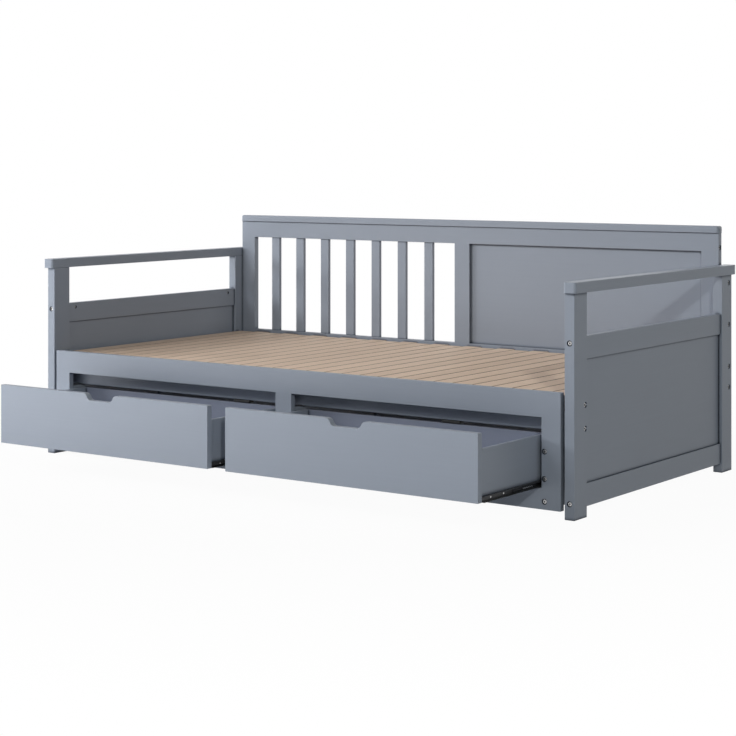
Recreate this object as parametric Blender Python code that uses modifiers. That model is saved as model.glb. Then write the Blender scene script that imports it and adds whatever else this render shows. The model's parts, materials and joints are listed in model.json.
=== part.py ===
"""Extendable daybed with two drawers.

A twin daybed of painted boards. Its two arms carry a backrest, a rear rail and a front beam.
The front frame pulls out on wheels: every second deck slat rides on it, so the narrow deck
slides apart into a double one. Two drawers run on slides inside that frame.

Sizes are in metres. In the bed's own measures X runs to the right, Y to the back from the
arms' front faces, and Z up from the floor. One empty then moves the whole bed so that the
world's origin is the middle of the floor under it, with the drawers as far open as they are.
"""

import math

import bmesh
import bpy
from mathutils import Matrix, Vector

# Fits between pieces
SEAT = 0.0003
GROOVE_ROOM = 0.0003
RUNNING = 0.0005
OVERRUN = 0.002
WELD = 0.00001

# Space for the mattress
CLEAR_LENGTH = 1.930
CLEAR_DEPTH = 0.990
DECK_HEIGHT = 0.335
LIP_ABOVE_DECK = 0.009

# Arms
POST_WIDTH = 0.030
POST_DEPTH = 0.071
POST_HEIGHT = 0.616
POST_BEHIND_BACK = 0.008
ARM_RAIL_HEIGHT = 0.063
ARM_RAIL_THICKNESS = 0.018
ARM_UPPER_RAIL_TOP = 0.495
ARM_LOWER_RAIL_BOTTOM = 0.0275
ARM_CAP_THICKNESS = 0.030
ARM_CAP_OVER = 0.010
PANEL_THICKNESS = 0.005
PANEL_TONGUE = 0.006

# Backrest
BACK_THICKNESS = 0.022
BACK_TOP = 0.746
BACK_BELOW_LIP = 0.092
BACK_STILE_WIDTH = 0.060
BACK_TOP_RAIL_HEIGHT = 0.0585
BACK_CENTRE_OFFSET = 0.010
BACK_SLAT_WIDTH = 0.035
BACK_SLAT_THICKNESS = 0.013
BACK_SLAT_GAP = 0.078
BACK_CAP_THICKNESS = 0.022
BACK_CAP_OVER_FACE = 0.005
BACK_CAP_OVER_END = 0.001
BACK_FILLER_HEIGHT = 0.010

# Deck
SLAT_WIDTH = 0.0615
SLAT_GAP = 0.0045
SLAT_THICKNESS = 0.015
SLAT_ROW_ROOM = 0.004
BEAM_THICKNESS = 0.024
BEAM_HEIGHT = 0.088
BEAM_SETBACK = 0.051
FIXED_SLAT_SETBACK = 0.009
MOVING_SLAT_BACK_ROOM = 0.018
LEDGE_WIDTH = 0.028
LEDGE_HEIGHT = 0.030
REAR_BAR_WIDTH = 0.037
REAR_BAR_ROOM = 0.005
PAD_INSET = 0.006
PAD_DEPTH = 0.003

# Pull-out front frame
FRAME_SIDE_ROOM = 0.0113
FRAME_PROUD = 0.002
FRAME_BOARD = 0.019
FRAME_FLOOR_ROOM = 0.021
FRAME_STILE_WIDTH = 0.0596
FRAME_CENTRE_WIDTH = 0.0608
FRAME_TOP_RAIL_HEIGHT = 0.071
FRAME_BOTTOM_RAIL_HEIGHT = 0.0595
CLEAT_WIDTH = 0.028
CLEAT_HEIGHT = 0.030
SUPPORT_BOARD = 0.018
SUPPORT_LENGTH = 0.420
SUPPORT_TOP_ROOM = 0.003
STRETCHER_HEIGHT = 0.100
STRETCHER_TOP_ROOM = 0.009

# Drawers
DRAWER_OPEN = 0.315
DRAWER_FRONT_BOARD = 0.020
DRAWER_SILL_ROOM = 0.0022
DRAWER_HEAD_ROOM = 0.0070
DRAWER_OUTER_ROOM = 0.0086
DRAWER_INNER_ROOM = 0.0030
DRAWER_BEAM_ROOM = 0.010
DRAWER_SIDE_BOARD = 0.012
DRAWER_SIDE_LENGTH = 0.361
DRAWER_BOTTOM_BOARD = 0.005
DRAWER_BOTTOM_RISE = 0.020
DRAWER_BOTTOM_TONGUE = 0.005
NOTCH_TOP_WIDTH = 0.115
NOTCH_BOTTOM_WIDTH = 0.095
NOTCH_DEPTH = 0.021
NOTCH_RADIUS = 0.0165

# Drawer slides, each of a board member, a middle member and a drawer member
SLIDE_SPACE = 0.0127
SLIDE_LENGTH = 0.350
SLIDE_HEIGHT = 0.016
SLIDE_STEEL = 0.0012
SLIDE_TIP_ROOM = 0.002

# Wheels and the foot between them
WHEEL_RADIUS = 0.025
WHEEL_WIDTH = 0.018
WHEEL_HUB_PROUD = 0.001
WHEEL_TREAD_ROUND = 0.003
WHEEL_PLACE = 0.170
AXLE_RADIUS = 0.004
AXLE_ROOM = 0.0001
AXLE_END_RADIUS = 0.007
AXLE_END_THICKNESS = 0.002
BRACKET_STEEL = 0.0025
BRACKET_LENGTH = 0.044
BRACKET_HEIGHT = 0.044
BRACKET_FLOOR_ROOM = 0.006
FOOT_RADIUS = 0.024
FOOT_NECK_RADIUS = 0.016
FOOT_PAD = 0.008
FOOT_ROUND = 0.002

# Holes for the bolts and their barrel nuts
BOLT_HOLE_RADIUS = 0.0035
BOLT_HOLE_PAST_NUT = 0.007
NUT_HOLE_RADIUS = 0.0053
NUT_HOLE_DEPTH = 0.024
NUT_LENGTH = 0.012
NUT_INSIDE_END = 0.036
ARM_BOLT_BELOW_TOP = 0.015
ARM_BOLT_ABOVE_BOTTOM = 0.0165
BEAM_BOLT_FROM_EDGE = 0.0115
BACK_BOLT_HEIGHTS = (0.5905, 0.460)
REAR_BOLT_BELOW_LIP = 0.016
REAR_BOLT_ABOVE_BOTTOM = 0.011
BACK_TOP_BOLT_ABOVE_RAIL = 0.0125

# Edges
EASED = 0.0015
CAP_ROUND = 0.007
BACK_CAP_ROUND = 0.008
EASED_STEPS = 1
ROUND_STEPS = 4
HOLE_SIDES = 12
ROUND_SIDES = 32
ARC_STEPS = 4
SHARP_DEGREES = 40

# Places that follow from the sizes above
INNER = CLEAR_LENGTH / 2
OUTER = INNER + POST_WIDTH
POST_MIDDLE = INNER + POST_WIDTH / 2
BACK_REAR = CLEAR_DEPTH + BACK_THICKNESS
ARM_DEPTH = BACK_REAR + POST_BEHIND_BACK
LIP = DECK_HEIGHT + LIP_ABOVE_DECK
BACK_BOTTOM = LIP - BACK_BELOW_LIP
SLAT_BOTTOM = DECK_HEIGHT - SLAT_THICKNESS
SLAT_PITCH = SLAT_WIDTH + SLAT_GAP
BEARER_TOP = SLAT_BOTTOM - SEAT
BEAM_REAR = BEAM_SETBACK + BEAM_THICKNESS
BEAM_BOTTOM = BEARER_TOP - BEAM_HEIGHT
LEDGE_FRONT = CLEAR_DEPTH - SEAT - LEDGE_WIDTH
REAR_BAR_REAR = LEDGE_FRONT - REAR_BAR_ROOM
REAR_BAR_FRONT = REAR_BAR_REAR - REAR_BAR_WIDTH

FRAME_SIDE = INNER - FRAME_SIDE_ROOM
FRAME_FRONT = -FRAME_PROUD
FRAME_REAR = FRAME_FRONT + FRAME_BOARD
OPENING_OUTER = FRAME_SIDE - FRAME_STILE_WIDTH
OPENING_INNER = FRAME_CENTRE_WIDTH / 2
OPENING_TOP = LIP - FRAME_TOP_RAIL_HEIGHT
OPENING_SILL = FRAME_FLOOR_ROOM + FRAME_BOTTOM_RAIL_HEIGHT
SUPPORT_FRONT = FRAME_REAR + SEAT
SUPPORT_REAR = SUPPORT_FRONT + SUPPORT_LENGTH
SUPPORT_TOP = BEAM_BOTTOM - SUPPORT_TOP_ROOM

DRAWER_SHUT_FRONT = FRAME_FRONT
DRAWER_FRONT_BOTTOM = OPENING_SILL + DRAWER_SILL_ROOM
DRAWER_FRONT_TOP = OPENING_TOP - DRAWER_HEAD_ROOM
DRAWER_SIDE_START = DRAWER_SHUT_FRONT + DRAWER_FRONT_BOARD + SEAT
DRAWER_SIDE_END = DRAWER_SIDE_START + DRAWER_SIDE_LENGTH
DRAWER_TOP = BEAM_BOTTOM - DRAWER_BEAM_ROOM
SLIDE_START = DRAWER_SIDE_START + OVERRUN
SLIDE_END = SLIDE_START + SLIDE_LENGTH
SLIDE_AXIS_HEIGHT = DRAWER_FRONT_BOTTOM + SLIDE_HEIGHT / 2

ORIGIN_FRONT = DRAWER_SHUT_FRONT - DRAWER_OPEN
ORIGIN_REAR = ARM_DEPTH + ARM_CAP_OVER
ORIGIN_DEPTH = (ORIGIN_FRONT + ORIGIN_REAR) / 2

SIDES = {"left": -1, "right": 1}


def start_scene():
    """Empty the scene and give it one collection for the bed and one for its cutters."""
    for old in list(bpy.data.objects):
        bpy.data.objects.remove(old, do_unlink=True)
    made = {}
    for name in ("extendable_daybed", "cutters"):
        made[name] = bpy.data.collections.new(name)
        bpy.context.scene.collection.children.link(made[name])
    return made["extendable_daybed"], made["cutters"]


def finish(name, colour, roughness, metallic):
    """A plain Principled material."""
    made = bpy.data.materials.new(name)
    made.use_nodes = True
    made.diffuse_color = (*colour, 1.0)
    shader = made.node_tree.nodes["Principled BSDF"]
    shader.inputs["Base Color"].default_value = (*colour, 1.0)
    shader.inputs["Roughness"].default_value = roughness
    shader.inputs["Metallic"].default_value = metallic
    return made


def carrier(name, place, parent=None):
    """An empty at a place in the bed's measures; the pieces it carries move with it."""
    made = bpy.data.objects.new(name, None)
    BED.objects.link(made)
    made["place"] = place
    if parent is not None:
        made.parent = parent
        place = Vector(place) - Vector(parent["place"])
    made.location = place
    return made


def put(name, mesh, place, holder, material=None):
    """A mesh as a named object at a place in the bed's measures, or a hidden cutter."""
    made = bpy.data.objects.new(name, mesh)
    made.parent = holder
    made.location = Vector(place) - Vector(holder["place"])
    if material is None:
        CUTTERS.objects.link(made)
        made.hide_render = True
        made.display_type = "WIRE"
    else:
        BED.objects.link(made)
        mesh.materials.append(material)
    return made


def box_mesh(name, boxes, place):
    """A mesh of separate boxes, each from its low to its high corner, about a place."""
    work = bmesh.new()
    for low, high in boxes:
        low, high = Vector(low), Vector(high)
        grown = Matrix.Diagonal((high - low).to_4d())
        grown.translation = (low + high) / 2 - Vector(place)
        bmesh.ops.create_cube(work, size=1, matrix=grown)
    mesh = bpy.data.meshes.new(name)
    work.to_mesh(mesh)
    work.free()
    return mesh


def middle_of(boxes):
    """The middle of the space that the boxes fill."""
    lows = [min(box[0][axis] for box in boxes) for axis in range(3)]
    highs = [max(box[1][axis] for box in boxes) for axis in range(3)]
    return (Vector(lows) + Vector(highs)) / 2


def boards(name, boxes, material, holder, edge=EASED, steps=EASED_STEPS):
    """Boards with eased edges: one node, or without a material the boards to join to one."""
    place = middle_of(boxes)
    made = put(name, box_mesh(name, boxes, place), place, holder, material)
    if edge:
        bevel = made.modifiers.new("eased_edges", "BEVEL")
        bevel.width = edge
        bevel.segments = steps
        bevel.limit_method = "ANGLE"
    return made


def change(piece, operation, *others):
    """Cut the others out of a piece, or join them to it."""
    for other in others:
        made = piece.modifiers.new(other.name, "BOOLEAN")
        made.operation = operation
        made.solver = "EXACT"
        made.object = other


def room_for(name, box, holder):
    """A cutter that leaves a board's tongues their clearance in the grooves."""
    more = Vector((GROOVE_ROOM, GROOVE_ROOM, GROOVE_ROOM))
    return boards(name, [(Vector(box[0]) - more, Vector(box[1]) + more)], None, holder, edge=0)


def turned_mesh(name, profile, sides):
    """A closed solid turned about Z from a profile of radii and heights, top to bottom."""
    line = bpy.data.meshes.new(name + "_profile")
    points = [(radius, 0, height) for radius, height in profile]
    line.from_pydata(points, [(i, i + 1) for i in range(len(points) - 1)], [])
    lathe = bpy.data.objects.new(name + "_lathe", line)
    CUTTERS.objects.link(lathe)
    screw = lathe.modifiers.new("turned", "SCREW")
    screw.axis = "Z"
    screw.steps = sides
    screw.render_steps = sides
    screw.use_merge_vertices = True
    screw.merge_threshold = WELD
    bpy.context.view_layer.update()
    solid = bpy.data.meshes.new_from_object(lathe.evaluated_get(bpy.context.evaluated_depsgraph_get()))
    solid.name = name
    bpy.data.objects.remove(lathe, do_unlink=True)
    bpy.data.meshes.remove(line)
    return solid


def turned_piece(name, mesh, place, material, holder):
    """A turned solid as a node, shaded smooth round its sides."""
    mesh.shade_smooth()
    mesh.set_sharp_from_angle(angle=math.radians(SHARP_DEGREES))
    return put(name, mesh, place, holder, material)


def facing(place, direction):
    """The matrix that stands a Z-wise shape at a place, with Z along a direction."""
    turn = Vector((0, 0, 1)).rotation_difference(Vector(direction)).to_matrix().to_4x4()
    return Matrix.Translation(place) @ turn


def holes(name, drillings, holder):
    """Round holes to cut: each has a bottom, a way out, a radius and a depth."""
    drill = turned_mesh("drill", [(0, 1), (1, 1), (1, 0), (0, 0)], HOLE_SIDES)
    work = bmesh.new()
    for bottom, way_out, radius, depth in drillings:
        hole = drill.copy()
        hole.transform(Matrix.Diagonal((radius, radius, depth, 1)))
        hole.transform(facing(bottom - Vector(holder["place"]), way_out))
        work.from_mesh(hole)
        bpy.data.meshes.remove(hole)
    mesh = bpy.data.meshes.new(name)
    work.to_mesh(mesh)
    work.free()
    bpy.data.meshes.remove(drill)
    return put(name, mesh, holder["place"], holder)


def bolt_places():
    """Where each bolt enters, its way in, how much it goes through, and its nut's way out."""
    arm_heights = (ARM_UPPER_RAIL_TOP - ARM_BOLT_BELOW_TOP, ARM_LOWER_RAIL_BOTTOM + ARM_BOLT_ABOVE_BOTTOM)
    beam_heights = (BEARER_TOP - BEAM_BOLT_FROM_EDGE, BEAM_BOTTOM + BEAM_BOLT_FROM_EDGE)
    rear_heights = (LIP - REAR_BOLT_BELOW_LIP, BACK_BOTTOM + REAR_BOLT_ABOVE_BOTTOM)
    back_middle = CLEAR_DEPTH + BACK_THICKNESS / 2
    side_rows = [(BEAM_SETBACK + BEAM_THICKNESS / 2, height) for height in beam_heights]
    side_rows += [(back_middle, height) for height in BACK_BOLT_HEIGHTS + rear_heights]
    top_height = BACK_TOP - BACK_TOP_RAIL_HEIGHT + BACK_TOP_BOLT_ABOVE_RAIL
    ahead = Vector((0, 1, 0))
    found = []
    for side in SIDES.values():
        inward = Vector((-side, 0, 0))
        post = side * POST_MIDDLE
        for height in arm_heights:
            found.append((Vector((post, 0, height)), ahead, POST_DEPTH, inward))
            found.append((Vector((post, ARM_DEPTH, height)), -ahead, POST_DEPTH, inward))
        for depth, height in side_rows:
            found.append((Vector((side * OUTER, depth, height)), inward, POST_WIDTH, ahead))
        stile = side * (INNER - SEAT)
        found.append((Vector((stile, back_middle, top_height)), inward, BACK_STILE_WIDTH, ahead))
    return found


def drill_frame(holder):
    """The holes for the bolts, and the cross holes for the barrel nuts that they draw on."""
    bolts, nuts = [], []
    for seat, way_in, through, nut_out in bolt_places():
        reach = through + NUT_INSIDE_END
        depth = reach + BOLT_HOLE_PAST_NUT
        bolts.append((seat + way_in * depth, -way_in, BOLT_HOLE_RADIUS, depth + OVERRUN))
        nut_bottom = seat + way_in * reach - nut_out * (NUT_LENGTH / 2)
        nuts.append((nut_bottom, nut_out, NUT_HOLE_RADIUS, NUT_HOLE_DEPTH))
    return holes("bolt_holes", bolts, holder), holes("nut_holes", nuts, holder)


def make_arm(label, side, holder, drilled):
    """One arm: two posts, two rails and a panel in their grooves, and the cap on top."""

    def across(near, far):
        return sorted((side * near, side * far))

    def box(xs, ys, zs):
        return (xs[0], ys[0], zs[0]), (xs[1], ys[1], zs[1])

    posts = across(INNER, OUTER)
    rails = across(POST_MIDDLE - ARM_RAIL_THICKNESS / 2, POST_MIDDLE + ARM_RAIL_THICKNESS / 2)
    panels = across(POST_MIDDLE - PANEL_THICKNESS / 2, POST_MIDDLE + PANEL_THICKNESS / 2)
    front_end = POST_DEPTH + SEAT
    rear_end = ARM_DEPTH - POST_DEPTH - SEAT
    upper_bottom = ARM_UPPER_RAIL_TOP - ARM_RAIL_HEIGHT
    lower_top = ARM_LOWER_RAIL_BOTTOM + ARM_RAIL_HEIGHT

    panel_box = box(panels, (POST_DEPTH - PANEL_TONGUE, ARM_DEPTH - POST_DEPTH + PANEL_TONGUE),
                    (lower_top - PANEL_TONGUE, upper_bottom + PANEL_TONGUE))
    groove = room_for(label + "_arm_groove", panel_box, holder)
    boards(label + "_arm_panel", [panel_box], PAINT, holder, edge=0)

    spans = {"front": (0, POST_DEPTH), "rear": (ARM_DEPTH - POST_DEPTH, ARM_DEPTH)}
    for place, span in spans.items():
        post = boards(f"{label}_{place}_post", [box(posts, span, (0, POST_HEIGHT))], PAINT, holder)
        change(post, "DIFFERENCE", groove, drilled[0])
    levels = {"upper": (upper_bottom, ARM_UPPER_RAIL_TOP), "lower": (ARM_LOWER_RAIL_BOTTOM, lower_top)}
    for place, level in levels.items():
        rail = boards(f"{label}_arm_{place}_rail", [box(rails, (front_end, rear_end), level)], PAINT, holder)
        change(rail, "DIFFERENCE", groove, *drilled)

    cap_low = POST_HEIGHT + SEAT
    cap_box = box(across(INNER, OUTER + ARM_CAP_OVER), (-ARM_CAP_OVER, ARM_DEPTH + ARM_CAP_OVER),
                  (cap_low, cap_low + ARM_CAP_THICKNESS))
    rounded_cap(label + "_arm_cap", cap_box, CAP_ROUND, holder)


def rounded_cap(name, box, radius, holder):
    """A cap rail whose top edges are well rounded."""
    made = boards(name, [box], PAINT, holder, edge=radius, steps=ROUND_STEPS)
    underside = (box[0][2] - box[1][2]) / 2
    work = bmesh.new()
    work.from_mesh(made.data)
    weights = work.edges.layers.float.new("bevel_weight_edge")
    small_share = EASED / radius
    for edge in work.edges:
        low = any(abs(end.co.z - underside) < abs(underside) for end in edge.verts)
        edge[weights] = small_share if low else 1
    work.to_mesh(made.data)
    work.free()
    made.modifiers["eased_edges"].limit_method = "WEIGHT"
    return made


def make_backrest(holder, drilled):
    """Stiles, rails, slats, a panel in its grooves, and the cap."""
    front, rear = CLEAR_DEPTH, BACK_REAR
    end = INNER - SEAT
    stile_top = BACK_TOP
    rail_low = BACK_TOP - BACK_TOP_RAIL_HEIGHT
    left_inside = -end + BACK_STILE_WIDTH
    right_inside = end - BACK_STILE_WIDTH
    centre_left = BACK_CENTRE_OFFSET - BACK_STILE_WIDTH / 2
    centre_right = BACK_CENTRE_OFFSET + BACK_STILE_WIDTH / 2

    middle = (front + rear) / 2
    panel_box = ((centre_right - PANEL_TONGUE, middle, LIP - PANEL_TONGUE),
                 (right_inside + PANEL_TONGUE, middle + PANEL_THICKNESS, rail_low + PANEL_TONGUE))
    groove = room_for("backrest_groove", panel_box, holder)
    boards("backrest_panel", [panel_box], PAINT, holder, edge=0)

    def upright(name, left, right, low, high):
        return boards(name, [((left, front, low), (right, rear, high))], PAINT, holder)

    change(upright("backrest_left_stile", -end, left_inside, BACK_BOTTOM, stile_top), "DIFFERENCE", *drilled)
    change(upright("backrest_right_stile", right_inside, end, BACK_BOTTOM, stile_top),
           "DIFFERENCE", groove, *drilled)
    change(upright("backrest_centre_stile", centre_left, centre_right, LIP + SEAT, rail_low - SEAT),
           "DIFFERENCE", groove)
    change(upright("backrest_top_rail", left_inside + SEAT, right_inside - SEAT, rail_low, BACK_TOP),
           "DIFFERENCE", groove, *drilled)
    bottom_rail = upright("backrest_bottom_rail", left_inside + SEAT, right_inside - SEAT, BACK_BOTTOM, LIP)
    change(bottom_rail, "DIFFERENCE", groove)

    pitch = BACK_SLAT_WIDTH + BACK_SLAT_GAP
    count = int((centre_left - left_inside - BACK_SLAT_GAP) / pitch)
    slat_front = middle - BACK_SLAT_THICKNESS / 2
    slat_rear = slat_front + BACK_SLAT_THICKNESS
    filler_box = ((left_inside + SEAT + SEAT, slat_front, LIP - BACK_FILLER_HEIGHT),
                  (centre_left - SEAT, slat_rear, LIP))
    slats = []
    for index in range(count):
        left = left_inside + BACK_SLAT_GAP + index * pitch
        slats.append(((left, slat_front, LIP - PAD_DEPTH),
                      (left + BACK_SLAT_WIDTH, slat_rear, rail_low - SEAT)))
    filler = boards("backrest_slats", [filler_box], PAINT, holder, edge=0)
    change(filler, "UNION", boards("backrest_slat_row", slats, None, holder))
    change(bottom_rail, "DIFFERENCE", room_for("backrest_filler_groove", filler_box, holder))

    cap_end = INNER + BACK_CAP_OVER_END
    cap_box = ((-cap_end, front - BACK_CAP_OVER_FACE, BACK_TOP + SEAT),
               (cap_end, rear + BACK_CAP_OVER_FACE, BACK_TOP + SEAT + BACK_CAP_THICKNESS))
    rounded_cap("backrest_cap", cap_box, BACK_CAP_ROUND, holder)


def slat_lefts():
    """The left edge of every deck slat, from the left arm to the right one."""
    first = -INNER + SLAT_ROW_ROOM
    count = int((CLEAR_LENGTH - SLAT_ROW_ROOM + SLAT_GAP) / SLAT_PITCH)
    return [first + index * SLAT_PITCH for index in range(count)]


def make_deck(name, lefts, front, rear, bearers, holder):
    """Deck slats joined to the bearers under them by pads that are let into both."""
    slats, pads = [], []
    for left in lefts:
        right = left + SLAT_WIDTH
        slats.append(((left, front, SLAT_BOTTOM), (right, rear, DECK_HEIGHT)))
        for low, high in bearers:
            pads.append(((left + PAD_INSET, low[1] + PAD_INSET, BEARER_TOP - PAD_DEPTH),
                         (right - PAD_INSET, high[1] - PAD_INSET, SLAT_BOTTOM + PAD_DEPTH)))
    deck = boards(name, bearers, RAW_WOOD, holder)
    change(deck, "UNION", boards(name + "_pads", pads, None, holder, edge=0))
    change(deck, "UNION", boards(name + "_row", slats, None, holder))


def make_fixed_deck(holder, drilled):
    """The front beam, and the slats that lie on it and are joined by a ledge at the backrest."""
    beam_end = INNER - SEAT
    beam = boards("front_beam", [((-beam_end, BEAM_SETBACK, BEAM_BOTTOM), (beam_end, BEAM_REAR, BEARER_TOP))],
                  PAINT, holder)
    change(beam, "DIFFERENCE", *drilled)
    rear = CLEAR_DEPTH - SEAT
    front = BEAM_SETBACK + FIXED_SLAT_SETBACK
    ledge = ((-beam_end, LEDGE_FRONT, BEARER_TOP - LEDGE_HEIGHT), (beam_end, rear, BEARER_TOP))
    make_deck("fixed_deck_slats", slat_lefts()[1::2], front, rear, [ledge], holder)


def make_front_frame(holder):
    """The face frame that pulls out, and the boards behind it that carry the drawers."""

    def face(name, left, right, low, high):
        boards(name, [((left, FRAME_FRONT, low), (right, FRAME_REAR, high))], PAINT, holder)

    floor = FRAME_FLOOR_ROOM
    rail_end = OPENING_OUTER - SEAT
    face("pullout_left_stile", -FRAME_SIDE, -OPENING_OUTER, floor, LIP)
    face("pullout_right_stile", OPENING_OUTER, FRAME_SIDE, floor, LIP)
    face("pullout_centre_stile", -OPENING_INNER, OPENING_INNER, OPENING_SILL + SEAT, OPENING_TOP - SEAT)
    face("pullout_top_rail", -rail_end, rail_end, OPENING_TOP, LIP)
    face("pullout_bottom_rail", -rail_end, rail_end, floor, OPENING_SILL)

    lefts = {
        "left": -OPENING_OUTER - SUPPORT_BOARD,
        "centre_left": -OPENING_INNER,
        "centre_right": OPENING_INNER - SUPPORT_BOARD,
        "right": OPENING_OUTER,
    }
    for label, left in lefts.items():
        box = ((left, SUPPORT_FRONT, floor), (left + SUPPORT_BOARD, SUPPORT_REAR, SUPPORT_TOP))
        boards("drawer_support_" + label, [box], PAINT, holder)
    outside = OPENING_OUTER + SUPPORT_BOARD
    high = SUPPORT_TOP - STRETCHER_TOP_ROOM
    near = SUPPORT_REAR + SEAT
    stretcher = ((-outside, near, high - STRETCHER_HEIGHT), (outside, near + SUPPORT_BOARD, high))
    boards("support_stretcher", [stretcher], PAINT, holder)


def make_moving_deck(holder):
    """The slats that ride on the frame, with the cleat at their front and the bar at their rear."""
    near = FRAME_REAR + SEAT
    cleat_end = FRAME_SIDE - FRAME_SIDE_ROOM
    bar_end = INNER - SLAT_ROW_ROOM
    cleat = ((-cleat_end, near, BEARER_TOP - CLEAT_HEIGHT), (cleat_end, near + CLEAT_WIDTH, BEARER_TOP))
    bar = ((-bar_end, REAR_BAR_FRONT, BEARER_TOP - LEDGE_HEIGHT), (bar_end, REAR_BAR_REAR, BEARER_TOP))
    slat_rear = CLEAR_DEPTH - MOVING_SLAT_BACK_ROOM
    make_deck("moving_deck_slats", slat_lefts()[::2], near, slat_rear, [cleat, bar], holder)


def channel(name, web, tip, low, high, start, end, holder):
    """A drawn steel C channel along Y: a web, and two flanges that reach from it to the tip."""
    half = SLIDE_STEEL / 2
    inside = web + half if tip > web else web - half
    line = [(tip, low + half), (inside, low + half), (inside, high - half), (tip, high - half)]
    work = bmesh.new()
    place = Vector((inside, start, (low + high) / 2))
    rows = [[work.verts.new(Vector((x, y, z)) - place) for x, z in line] for y in (start, end)]
    for index in range(len(line) - 1):
        work.faces.new((rows[0][index], rows[0][index + 1], rows[1][index + 1], rows[1][index]))
    bmesh.ops.recalc_face_normals(work, faces=work.faces)
    mesh = bpy.data.meshes.new(name)
    work.to_mesh(mesh)
    work.free()
    made = put(name, mesh, place, holder, BLACK_STEEL)
    shell = made.modifiers.new("steel", "SOLIDIFY")
    shell.thickness = SLIDE_STEEL
    shell.offset = 0
    shell.use_even_offset = True


def slide_values(board_face, drawer_face, moved):
    """The nested members between a support board and a drawer side, the widest on the drawer."""
    way = 1 if drawer_face > board_face else -1
    step = SLIDE_STEEL + RUNNING
    drawer_web = drawer_face - way * SEAT
    middle_web = drawer_web - way * step
    board_tip = middle_web - way * (step + RUNNING)
    tips = board_face + way * SLIDE_TIP_ROOM
    half = SLIDE_HEIGHT / 2
    profiles = {
        "board": (board_face + way * SEAT, board_tip, half - step - step, 0),
        "middle": (middle_web, tips, half - step, moved / 2),
        "drawer": (drawer_web, tips, half, moved),
    }
    members = {}
    for label, (web, tip, reach, shift) in profiles.items():
        heights = (SLIDE_AXIS_HEIGHT - reach, SLIDE_AXIS_HEIGHT + reach)
        members[label] = (web, tip, *heights, SLIDE_START - shift, SLIDE_END - shift)
    return members


def rounded_outline(corners):
    """Points round an outline whose corners each have a radius, the arcs in equal steps."""
    points = []
    for index, (x, z, radius) in enumerate(corners):
        here = Vector((x, z))
        before = Vector(corners[index - 1][:2]) - here
        after = Vector(corners[(index + 1) % len(corners)][:2]) - here
        if radius == 0:
            points.append(here)
            continue
        half_angle = before.angle(after) / 2
        bisector = (before.normalized() + after.normalized()).normalized()
        centre = here + bisector * (radius / math.sin(half_angle))
        first = here + before.normalized() * (radius / math.tan(half_angle)) - centre
        sweep = math.pi - 2 * half_angle
        turn = 1 if before.cross(after) < 0 else -1
        for step in range(ARC_STEPS + 1):
            spoke = first.copy()
            spoke.rotate(Matrix.Rotation(turn * sweep * step / ARC_STEPS, 2))
            points.append(centre + spoke)
    return points


def notch_cutter(name, middle, holder):
    """The finger notch: a flat-bottomed dip with round corners, as a curve made solid."""
    top = DRAWER_FRONT_TOP + SEAT
    half_top, half_bottom = NOTCH_TOP_WIDTH / 2, NOTCH_BOTTOM_WIDTH / 2
    flare = half_top + NOTCH_RADIUS + NOTCH_RADIUS
    bottom = DRAWER_FRONT_TOP - NOTCH_DEPTH
    corners = [(-flare, top + OVERRUN, 0), (-flare, top, 0), (-half_top, top, NOTCH_RADIUS),
               (-half_bottom, bottom, NOTCH_RADIUS), (half_bottom, bottom, NOTCH_RADIUS),
               (half_top, top, NOTCH_RADIUS), (flare, top, 0), (flare, top + OVERRUN, 0)]
    curve = bpy.data.curves.new(name, "CURVE")
    curve.dimensions = "2D"
    curve.fill_mode = "BOTH"
    curve.extrude = DRAWER_FRONT_BOARD / 2 + OVERRUN
    points = rounded_outline(corners)
    line = curve.splines.new("POLY")
    line.points.add(len(points) - 1)
    for point, place in zip(line.points, points):
        point.co = (place.x, place.y, 0, 1)
    line.use_cyclic_u = True
    flat = bpy.data.objects.new(name + "_outline", curve)
    CUTTERS.objects.link(flat)
    bpy.context.view_layer.update()
    mesh = bpy.data.meshes.new_from_object(flat.evaluated_get(bpy.context.evaluated_depsgraph_get()))
    bpy.data.objects.remove(flat, do_unlink=True)
    bpy.data.curves.remove(curve)
    work = bmesh.new()
    work.from_mesh(mesh)
    bmesh.ops.remove_doubles(work, verts=work.verts, dist=WELD)
    bmesh.ops.rotate(work, verts=work.verts, matrix=Matrix.Rotation(math.radians(90), 3, "X"))
    bmesh.ops.recalc_face_normals(work, faces=work.faces)
    work.to_mesh(mesh)
    work.free()
    depth = DRAWER_SHUT_FRONT + DRAWER_FRONT_BOARD / 2 - DRAWER_OPEN
    return put(name, mesh, (middle, depth, 0), holder)


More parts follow.
